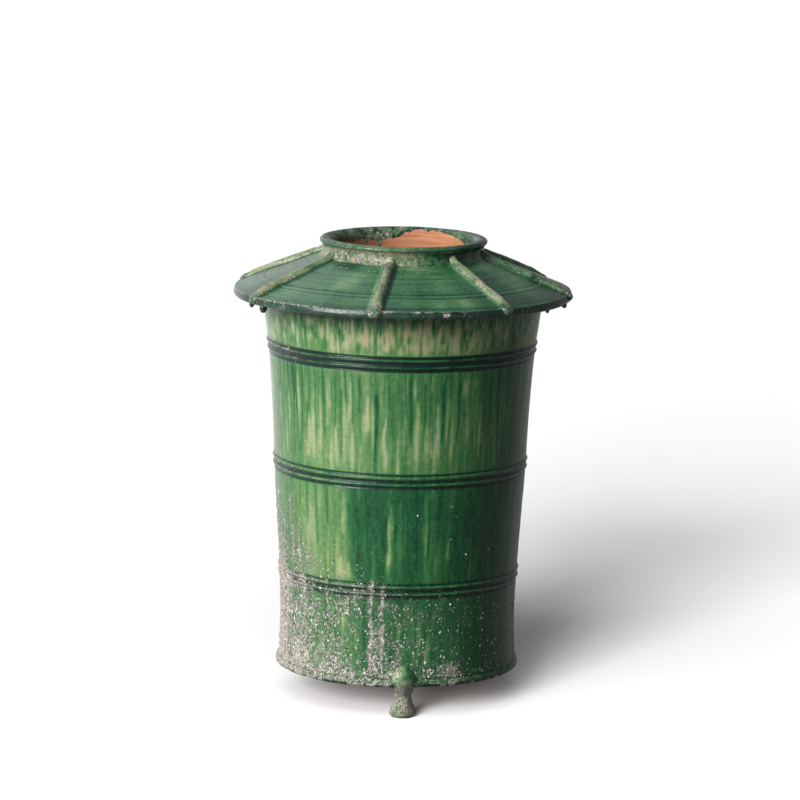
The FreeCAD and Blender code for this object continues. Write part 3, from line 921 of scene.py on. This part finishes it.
def throw_roof(sizes):
    """Roof with its rings, its hole for the collar and its eave's edge."""
    bearings = round_jar(sizes.columns)
    edge_r, edge_z = np.array(EAVE_EDGE).T
    under_r = np.linspace(112.9, ROOF_HOLE, 18)
    top_r = np.linspace(ROOF_HOLE, 115, 96)
    hole_z = np.linspace(roof_underside_height(ROOF_HOLE), roof_top_height(ROOF_HOLE), 4)[1:-1]
    radius = np.concatenate((under_r, [ROOF_HOLE] * 2, top_r, edge_r))[::-1][:, None]
    height = np.concatenate((roof_underside_height(under_r), hole_z, roof_top_height(top_r), edge_z))
    height = height[::-1][:, None]
    first_top, last_top = len(edge_r), len(edge_r) + len(top_r)
    on_top = np.zeros(radius.shape)
    on_top[first_top:last_top] = 1
    outward = eased(radius, 70, 114)
    lift = eave_waver(bearings) * outward
    relief = 0
    for number, (ring, depth) in enumerate(INCISED_RINGS):
        drift = waver(bearings, 0.5, 50, 91 + number)
        fade = 0.35 + 0.9 * cloud(bearings, 0, 30, 1, 95 + number)
        relief = relief - depth * fade * hump(radius, ring + drift, 0.55)
    relief = (relief + spots(0.12, 0, radius + waver(bearings, 2, 70, 98), 360, 2.6, 99)
              + spots(0.2, bearings, radius, 9, 14, 101))
    for ridge in RIDGE_BEARINGS:
        aside = np.abs(np.radians(apart(bearings, ridge))) * radius
        relief = relief + 0.55 * eased(aside, 6.2, 3.6)
    low_side = waver(bearings, 0.3, 7, 104) * (1 - on_top) * eased(radius, 110, 115)
    grid = on_jar(np.minimum(radius + 0 * bearings, EAVE_RADIUS), bearings,
                  height + lift + (relief * on_top) + low_side)
    glaze, crust, clay = roof_fields(radius, height, bearings, on_top)
    fields = {"glaze": glaze[::-1], "crust": crust[::-1], "clay": clay[::-1]}
    piece = skin("roof_cone", grid[::-1], True, fields)
    finish = glazed_finish("roof_glaze", sloping, 0.14, brushed_round, tint=(0.9, 0.9, 1.12), gloss=0.17,
                           level=0.42, mottling=0.55)
    set_in_place(piece, finish, "roof_glaze", "roof")


def roof_fields(radius, height, bearing, on_top):
    """Glaze, crust and bare clay of the roof, with painted shade on its right side, a painted shadow and
    highlight beside each ridge and a painted highlight along the eave's top edge.
    """
    # Its last term, deeper glaze past bearing 36, is painted shade on the roof's right side
    glaze = 0.72 + spots(0.26, bearing, radius, 14, 26, 111) + 0.07 * eased(bearing, 36, 56)
    glaze = (glaze + spots(0.10, bearing, radius, 3.4, 30, 112)
             + spots(0.14, bearing, radius + waver(bearing, 2, 50, 113), 50, 2.2, 114))
    for middle, at, wide, tall, change in ROOF_PATCHES:
        glaze = glaze + change * hump(apart(bearing, middle), 0, wide) * hump(radius, at, tall)
    for ring, depth in INCISED_RINGS:
        glaze = glaze + 0.7 * depth * hump(radius, ring, 0.6) - 0.1 * hump(radius, ring + 1.6, 0.8)
    glaze = glaze + (0.12 * eased(radius, 108, 113) - 0.3 * hump(radius, 114.9, 0.7)) * on_top
    glaze = np.where(on_top > 0.5, glaze, 0.97 - 0.12 * cloud(bearing, radius, 5, 8, 115))
    # Painted shadow and highlight beside each ridge on the roof's top: deeper, darker glaze on its side
    # towards higher bearings, and paler glaze on the other side
    for ridge in RIDGE_BEARINGS:
        aside = np.radians(apart(bearing, ridge)) * radius
        pale = 0.4 + 0.6 * cloud(bearing, radius, 4, 7, 117)
        glaze = glaze + on_top * (0.3 * eased(aside, 3, 3.8) * eased(aside, 7.6, 5)
                                  - 0.34 * pale * eased(aside, -6.2, -4.8) * eased(aside, -3, -3.6))
    crust = eased(radius, 74, 56) * eased(bearing, -70, -40) * eased(bearing, 34, 10)
    crust = crust * (0.04 + 0.34 * cloud(bearing, radius, 5, 6, 118) + 0.12 * eased(bearing, -12, 4))
    crust = (crust + 0.14 * eased(cloud(bearing, radius, 14, 18, 119), 0.7, 0.95)
             + 0.3 * (on_top < 0.5) * eased(radius, 113, 115.6) * cloud(bearing, radius, 3, 3, 120))
    crust = crust * (0.3 + 0.7 * eased(bearing, 40, 0))
    # Painted highlight: pale crust laid along the top of the eave's edge, strongest on its left and front
    painted_rim_highlight = hump(height, EAVE_TOP + 0.2, 0.45) * (radius > 114.2)
    crust = crust + painted_rim_highlight * eased(bearing, 34, -4) * (0.3 + 0.6 * cloud(bearing, 0, 2, 1, 122))
    chip = hump(np.radians(bearing - 10.9) * EAVE_RADIUS, 0, 1.9) * hump(height, 282.7, 1.2)
    chip = chip * (radius > 115)
    crust = crust + 3 * eased(chip + spots(0.2, bearing, height, 0.6, 0.7, 123), 0.4, 0.6)
    inside = (on_top < 0.5) & (radius < 96)
    clay = np.where(inside, 1, 0) + 0 * bearing
    return glaze + 0 * bearing, crust * np.where(inside, 0, 1), clay


class JAR_OT_roof(bpy.types.Operator):
    """Throws the conical roof with its incised rings and hand-trimmed eave"""

    bl_idname = "jar.roof"
    bl_label = "Roof"

    def execute(self, context):
        throw_roof(context.scene.jar_roof)
        return {"FINISHED"}


def throw_mouth():
    """Collar with its lip, turned along its cut."""
    line = np.array(MOUTH_LINE)
    steps = path_lengths(line)
    fine = np.linspace(0, steps[-1], MOUTH_ROWS)
    radii, heights = (np.interp(fine, steps, side)[:, None] for side in line.T)
    bearings = round_jar(MOUTH_COLUMNS)
    lip = eased(heights, 309, 316)
    height = heights - lip * (0.26 + waver(bearings, 0.24, 44, 121))
    radius = radii + lip * waver(bearings, 0.3, 36, 123) - 0.1
    radius = radius + 0.14 * lip * (cloud(bearings, heights, 3, 3, 125) - 0.5)
    inside = radii < 50.4
    throwing = spots(0.12, 0, heights + waver(bearings, 0.6, 60, 127), 360, 1.7, 128)
    radius = radius + np.where(inside, throwing, 0)
    fields = mouth_fields(radii, heights, bearings, inside)
    piece = skin("mouth_collar_thrown", on_jar(radius, bearings, height), True, fields)
    finish = glazed_finish("mouth_glaze", brushed_round, 0.2, tint=(1.2, 0.84, 1.1), gloss=0.18,
                           level=0.35, mottles=0.7, mottling=0.9)
    set_in_place(piece, finish, "roof_glaze", "mouth_collar")


def mouth_fields(radii, heights, bearing, inside):
    """Glaze, crust and bare clay of the collar, with painted shade on its right side and a partly painted
    highlight on the front of its lip.
    """
    glaze = 0.76 + spots(0.3, bearing, heights, 4, 5, 131)
    front_left = eased(bearing, 24, -2) * eased(bearing, -120, -80)
    neck = (1 - inside) * eased(heights, 316.6, 315.4)
    # Its term past bearing 12 deepens the glaze as painted shade on the collar's right side
    glaze = (glaze - 0.28 * front_left * neck - 0.08 * front_left + 0.12 * eased(bearing, 12, 40)
             + 0.4 * neck * (cloud(bearing, heights, 2.4, 2.4, 139) - 0.6))
    under_lip = hump(heights, 316.1, 0.5) * (1 - inside)
    # Its last term thins the glaze on the front of the lip's top: partly the lip's beige glaze, partly a
    # painted highlight along the top edge
    glaze = (glaze - 0.5 * under_lip * eased(np.abs(bearing), 70, 40)
             + 0.16 * eased(np.abs(bearing), 50, 84) * (heights > 315)
             - 0.16 * eased(np.abs(bearing), 70, 30) * eased(heights, 316.8, 317.6))
    back = eased(np.abs(bearing), 96, 126) * (radii < 55) * (heights > 308)
    glaze = glaze - back * (0.36 - 0.5 * eased(cloud(bearing, heights, 2.6, 2.4, 132), 0.45, 0.8))
    edge = np.interp(apart(bearing, 0), *np.array(MOUTH_GLAZE_EDGE).T)
    edge = edge + spots(1.5, bearing, 0, 4, 1, 133) + spots(0.6, bearing, 0, 1.4, 1, 134)
    clay = np.where(inside, 0.5 + (edge - heights) * 0.45, 0)
    glaze = glaze + np.where(inside, 0.26 * hump(heights, edge, 1.3) - 0.1, 0)
    crust = 0.5 * front_left * neck * eased(cloud(bearing, heights, 6, 6, 136), 0.25, 0.6)
    crust = crust * (0.2 + cloud(bearing, heights, 2, 1.8, 138))
    crust = (crust + 0.22 * front_left * (1 - inside)
             + 0.6 * back * cloud(bearing, heights, 4, 3, 137) * (clay < 0.5))
    return {"glaze": glaze, "crust": crust + 0 * bearing, "clay": np.clip(clay, 0, 1)}


class JAR_OT_mouth(bpy.types.Operator):
    """Throws the mouth collar with its rolled lip and the glaze that ran down inside it"""

    bl_idname = "jar.mouth"
    bl_label = "Mouth collar"

    def execute(self, context):
        throw_mouth()
        return {"FINISHED"}


def ridge_finish():
    """Thin worn glaze of the ridges."""
    return glazed_finish("ridge_glaze", brushed_round, 0.12, tint=(1.14, 0.88, 1.04), gloss=0.15,
                         level=0.55, mottles=0.8, mottling=1.15)


def lay_ridge(number, bearing, sizes, finish):
    """A strip along a line that runs down the roof and droops over the eave's edge."""
    tall, half_width = sizes.ridge_height * TO_MM, sizes.ridge_half_width * TO_MM
    seed = 140 + 7 * number
    droop = RIDGE_DROOPS[number - 1]
    ends = np.array((*RIDGE_LINE, (116, 282 - droop)))
    steps = path_lengths(ends)
    along = np.concatenate((np.linspace(0, 0.86, 86), np.linspace(0.866, 1, 34))) * steps[-1]
    path = np.stack([np.interp(along, steps, ends[:, axis]) for axis in (0, 1)], axis=-1)
    for _ in range(3):
        path[1:-1] = 0.25 * path[:-2] + 0.5 * path[1:-1] + 0.25 * path[2:]
    way = np.gradient(path, axis=0)
    way /= np.hypot(*way.T)[:, None]
    across_roof = np.stack((-way[:, 1], way[:, 0]), axis=-1)
    across_roof *= np.sign(across_roof[:, :1] + 1e-9)
    left = (steps[-1] - along)[:, None]
    gone = along[:, None]
    around = np.linspace(0, 2 * math.pi, 36, endpoint=False)[None, :]
    side, up = np.cos(around), np.sin(around)
    degrees = np.degrees(around)
    swell = eased(left, 15, 7)
    wide = 0.88 + 0.12 * gone / steps[-1] + spots(0.14, 0, gone, 360, 8, seed) + 0.2 * swell
    wide = half_width * wide
    high = tall * (0.94 + spots(0.14, 0, gone, 360, 10, seed + 1))
    high = high * (1 - 0.30 * swell) + 0.9 * eased(gone, 7, 1)
    shut = np.sqrt(np.clip(1 - np.clip(1 - left / 3.2, 0, 1) ** 2, 0.002, 1))
    shut = shut * np.sqrt(np.clip(1 - 0.8 * np.clip(1 - gone / 1.6, 0, 1) ** 2, 0.002, 1))
    lump = spots(0.36, degrees, gone, 40, 4.6, seed + 3) + spots(0.24, degrees, gone, 22, 1.9, seed + 4)
    spread = 1 + 0.2 * hump(up, 0, 0.25) * (1 - swell)
    sideways = (side * wide * spread + side * lump) * shut + spots(0.8, 0, gone, 360, 30, seed + 2)
    rise = np.where(up > 0, np.abs(up) ** 0.84 * high + lump * up, up * 1.5) * shut
    rise = np.minimum(rise, 3.1 + 10 * eased(left, 9, 13))
    out = path[:, :1] + across_roof[:, :1] * rise
    height = path[:, 1:] + across_roof[:, 1:] * rise
    height = height + eave_waver(bearing) * eased(out, 70, 114)
    out = np.sqrt(np.maximum(np.minimum(out, 119.2) ** 2 - sideways ** 2, 0))
    grid = off_axis(bearing, out, sideways, height)

    glaze = RIDGE_DEPTHS[number - 1] + spots(0.3, degrees, gone, 60, 7, seed + 5)
    glaze = (glaze + 0.26 * eased(cloud(degrees, gone, 70, 5, seed + 6), 0.60, 0.86)
             + 0.5 * eased(up, 0.45, -0.05) + 0.34 * eased(left, 9, 3))
    crust = 0.5 * cloud(degrees, gone, 80, 9, seed + 7) + 0.22 * eased(left, 8, 2)
    bare = eased(cloud(degrees, gone, 90, 6, seed + 8), 0.66, 0.86)
    clay = 0.44 * bare * eased(up, 0.1, 0.6) + 0 * up
    if number == CRUSTED_RIDGE:
        clay = np.maximum(clay, 0.9 * eased(gone, 4.4, 2.6) + 0 * up)
        crust = crust + 1.3 * eased(gone, 9, 4)
    fields = {"glaze": glaze[:, ::-1], "crust": crust[:, ::-1], "clay": clay[:, ::-1]}
    piece = skin(f"ridge_{number}", grid[:, ::-1], False, fields)
    set_in_place(piece, finish, "pale_glaze", f"roof_ridge_{number}")


class JAR_OT_ridges(bpy.types.Operator):
    """Lays the eight roof ridges, each with a drooping end over the eave"""

    bl_idname = "jar.ridges"
    bl_label = "Roof ridges"

    def execute(self, context):
        sizes = context.scene.jar_roof
        finish = ridge_finish()
        for number, bearing in enumerate(RIDGE_BEARINGS, 1):
            lay_ridge(number, bearing, sizes, finish)
        return {"FINISHED"}


def model_foot(number, name, bearing, finish):
    """One foot, built up from its slices."""
    z, middle, wide, deep = np.array(FOOT_SLICES).T
    heights = np.concatenate((np.linspace(0, 3, 10), np.linspace(3.4, 37, 74)))[:, None]
    middle, wide, deep = (smooth_line(heights, tuple(zip(z, line))) for line in (middle, wide, deep))
    around = np.linspace(0, 2 * math.pi, 96, endpoint=False)[None, :]
    degrees = np.degrees(around)
    side, front = np.sin(around), -np.cos(around)
    paw = eased(heights, 7, 2.2) * eased(heights, -1.5, 0.8)
    toes = paw * eased(-front, 0.1, 0.7) * 0.55 * (np.abs(np.cos(2 * around)) - 0.6)
    lumps = spots(0.5, degrees, heights, 30, 5, 201 + number)
    lumps = lumps + spots(0.26, degrees, heights, 11, 2.2, 211 + number)
    lumps = lumps * eased(heights, 0, 1.5)
    across = side * (wide + toes + lumps) + 0.3 * np.sin(heights / 6)
    out = middle - front * (deep + 0.8 * toes + lumps)
    under_drum = np.where(heights > 24, 78.6, 0)
    out = out + np.maximum(under_drum - np.hypot(across, out), 0)
    grid = off_axis(bearing, out, across, heights)
    glaze = 0.24 + spots(0.34, degrees, heights, 40, 8, 221 + number)
    glaze = (glaze + 0.42 * eased(heights, 25, 31) * eased(side, -0.1, 0.5)
             + 0.3 * eased(cloud(degrees, heights, 50, 6, 225 + number), 0.6, 0.9))
    crust = 0.9 - 0.45 * eased(heights, 19, 26) - 0.3 * eased(heights, 22, 30) * eased(side, -0.4, 0.4)
    crust = crust * (0.6 + 0.7 * cloud(degrees, heights, 35, 8, 231 + number))
    clay = 0.55 * eased(heights, 2.5, 0.5) + 0 * around
    fields = {"glaze": glaze, "crust": crust, "clay": clay}
    set_in_place(skin(f"{name}_modelled", grid, False, fields), finish, "pale_glaze", name)


class JAR_OT_feet(bpy.types.Operator):
    """Models the three feet: paw with toes, narrow shank and knee"""

    bl_idname = "jar.feet"
    bl_label = "Feet"

    def execute(self, context):
        finish = glazed_finish("foot_glaze", upright, 0.2, tint=(1.2, 1.05, 1.2), gloss=0.16, level=0.5,
                               mottles=0.7, mottling=0.8)
        for number, (name, bearing) in enumerate(FOOT_BEARINGS.items()):
            model_foot(number, name, bearing, finish)
        return {"FINISHED"}


def bead(bearing, radius):
    """A drop that narrows where it meets the eave."""
    polar = np.linspace(0.06, math.pi - 0.06, 30)[:, None]
    around = np.linspace(0, 2 * math.pi, 40, endpoint=False)[None, :]
    neck = 1 - 0.2 * eased(-np.cos(polar), 0.1, 0.9)
    flat_r = radius * np.sin(polar) * neck
    middle = on_jar(113.7, bearing, EAVE_LOW - radius * 0.5)
    x = middle[0] + flat_r * np.cos(around)
    y = middle[1] + flat_r * np.sin(around)
    z = middle[2] - 1.35 * radius * np.cos(polar) + 0 * around
    return np.stack((x, y, z), axis=-1)


class JAR_OT_beads(bpy.types.Operator):
    """Hangs the beads of run glaze under the eave"""

    bl_idname = "jar.beads"
    bl_label = "Eave beads"

    def execute(self, context):
        finish = Finish("bead_glaze")
        swirl = finish.noise(finish.scaled((0.5, 0.5, 0.25)), 3)
        colour = finish.ramp(swirl, (0.35, (0.004, 0.02, 0.012)), (0.65, (0.02, 0.07, 0.035)))
        rough = finish.span(swirl, 0.3, 0.7, 0.08, 0.22)
        dots = finish.noise(finish.scaled((1.2, 1.2, 1.2)), 2)
        material = finish.finish(colour, rough, dots, 0.08)
        strings = [skin(f"bead_{number}", bead(*place)) for number, place in enumerate(BEADS)]
        with bpy.context.temp_override(active_object=strings[0], selected_editable_objects=strings):
            bpy.ops.object.join()
        beads = strings[0]
        beads.name = beads.data.name = "eave_beads"
        set_in_place(beads, material, "glaze_beads", "eave_glaze_drips")
        return {"FINISHED"}


class JAR_OT_seams(bpy.types.Operator):
    """Gives the two soft coils inside the jar their bare clay"""

    bl_idname = "jar.seams"
    bl_label = "Seam coils"

    def execute(self, context):
        finish = Finish("seam_clay")
        colour = clay_colour(finish, finish.scaled((0.05, 0.05, 0.7)))
        dents = finish.noise(finish.scaled((0.25, 0.25, 0.4)), 5, 0.6)
        material = finish.finish(colour, 0.88, dents, 0.5, 0.3)
        for name in ("floor_seam_coil", "roof_seam_coil"):
            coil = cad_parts[name]
            coil.data.materials.clear()
            coil.data.materials.append(material)
        return {"FINISHED"}


def scatter(rng, bearing, height, radius, size):
    """Low faceted grains on the drum, as one mesh."""
    count, sides = len(size), 6
    outward, sideways = facing(bearing)
    spin = rng.uniform(0, 2 * math.pi, (count, 1)) + np.arange(sides) * 2 * math.pi / sides
    reach = size[:, None] * rng.uniform(0.6, 1.25, (count, sides))
    long_way = rng.uniform(0.9, 1.5, (count, 1))
    middle = outward * radius[:, None]
    middle[:, 2] = height
    ring = middle[:, None, :] + (np.cos(spin) * reach)[..., None] * sideways[:, None, :]
    ring[..., 2] += np.sin(spin) * reach * long_way
    ring += outward[:, None, :] * (rng.uniform(-0.06, 0.12, (count, sides)) * size[:, None])[..., None]
    top = middle + outward * (size * rng.uniform(0.35, 0.75, count))[:, None]
    top += sideways * (size * rng.uniform(-0.3, 0.3, count))[:, None]
    low = middle - outward * (0.4 * size)[:, None]
    points = np.concatenate((ring, top[:, None, :], low[:, None, :]), axis=1).reshape(-1, 3)
    start = (np.arange(count) * (sides + 2))[:, None]
    here = start + np.arange(sides)
    beside = start + (np.arange(sides) + 1) % sides
    upper = np.stack((here, beside, start + sides + 0 * here), axis=-1).reshape(-1, 3)
    lower = np.stack((beside, here, start + sides + 1 + 0 * here), axis=-1).reshape(-1, 3)
    mesh = bpy.data.meshes.new("lime_crust")
    mesh.from_pydata((points / TO_MM).tolist(), [], np.vstack((upper, lower)).tolist())
    tone = np.repeat(rng.random(count), sides + 2).astype(np.float32)
    mesh.attributes.new("tone", "FLOAT", "POINT").data.foreach_set("value", tone)
    piece = bpy.data.objects.new("lime_crust", mesh)
    bpy.context.scene.collection.objects.link(piece)
    finish = Finish("lime_grain")
    speck = finish.noise(finish.scaled((2, 2, 2)), 4, 0.7)
    tone = finish.strayed(finish.field("tone"), speck, 0.5)
    lime = bpy.context.scene.jar_colours.lime
    colour = finish.ramp(tone, (0.02, (0.03, 0.035, 0.03)), (0.10, [0.45 * c for c in lime]),
                         (0.35, (0.56, 0.47, 0.39)), (0.6, lime), (0.9, (0.86, 0.84, 0.79)))
    material = finish.finish(colour, 0.86, speck, 0.2, 0.3)
    set_in_place(piece, material, "bare_clay")


class JAR_OT_crust(bpy.types.Operator):
    """Scatters grains of lime crust over the lower drum"""

    bl_idname = "jar.crust"
    bl_label = "Lime crust"

    def execute(self, context):
        rng = np.random.default_rng(77)
        tries, most = 90000, 9000
        bearing = rng.uniform(-180, 180, tries)
        lowest, reach = 24, 190
        height = lowest + reach * rng.random(tries) ** 1.5
        radius = drum_radius(height, bearing)
        cover = drum_crust(height, bearing, radius)
        chance = 0.62 * np.clip(cover - 0.05, 0, 1) ** 1.3 + 0.002
        kept = np.flatnonzero(rng.random(tries) < chance)[:most]
        size = np.clip(rng.lognormal(-0.95, 0.42, len(kept)), 0.18, 1)
        scatter(rng, bearing[kept], height[kept], radius[kept], size)
        return {"FINISHED"}


class JAR_PT_sidebar(bpy.types.Panel):
    """Lists the jar's pieces."""

    bl_label = "Granary Jar"
    bl_space_type = "VIEW_3D"
    bl_region_type = "UI"
    bl_category = "Granary Jar"

    def draw(self, context):
        for settings in (context.scene.jar_drum, context.scene.jar_roof, context.scene.jar_colours,
                         context.scene.jar_studio):
            for name in settings.__annotations__:
                self.layout.prop(settings, name)
        for maker in MAKERS:
            self.layout.operator(maker.bl_idname)


SETTINGS = {
    "jar_drum": JarDrumSizes,
    "jar_roof": JarRoofSizes,
    "jar_colours": JarGlazeColours,
    "jar_studio": JarStudio,
}
MAKERS = (JAR_OT_stage, JAR_OT_drum, JAR_OT_roof, JAR_OT_mouth, JAR_OT_ridges, JAR_OT_feet,
          JAR_OT_beads, JAR_OT_seams, JAR_OT_crust)
CLASSES = (*SETTINGS.values(), *MAKERS, JAR_PT_sidebar)


def register():
    for each in CLASSES:
        bpy.utils.register_class(each)
    for name, settings in SETTINGS.items():
        setattr(bpy.types.Scene, name, PointerProperty(type=settings))


def unregister():
    for name in SETTINGS:
        delattr(bpy.types.Scene, name)
    for each in reversed(CLASSES):
        bpy.utils.unregister_class(each)


def main():
    """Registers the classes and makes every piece."""
    register()
    bpy.context.scene.view_settings.view_transform = "Standard"
    for maker in MAKERS:
        group, action = maker.bl_idname.split(".")
        getattr(getattr(bpy.ops, group), action)()


if __name__ == "__main__":
    main()
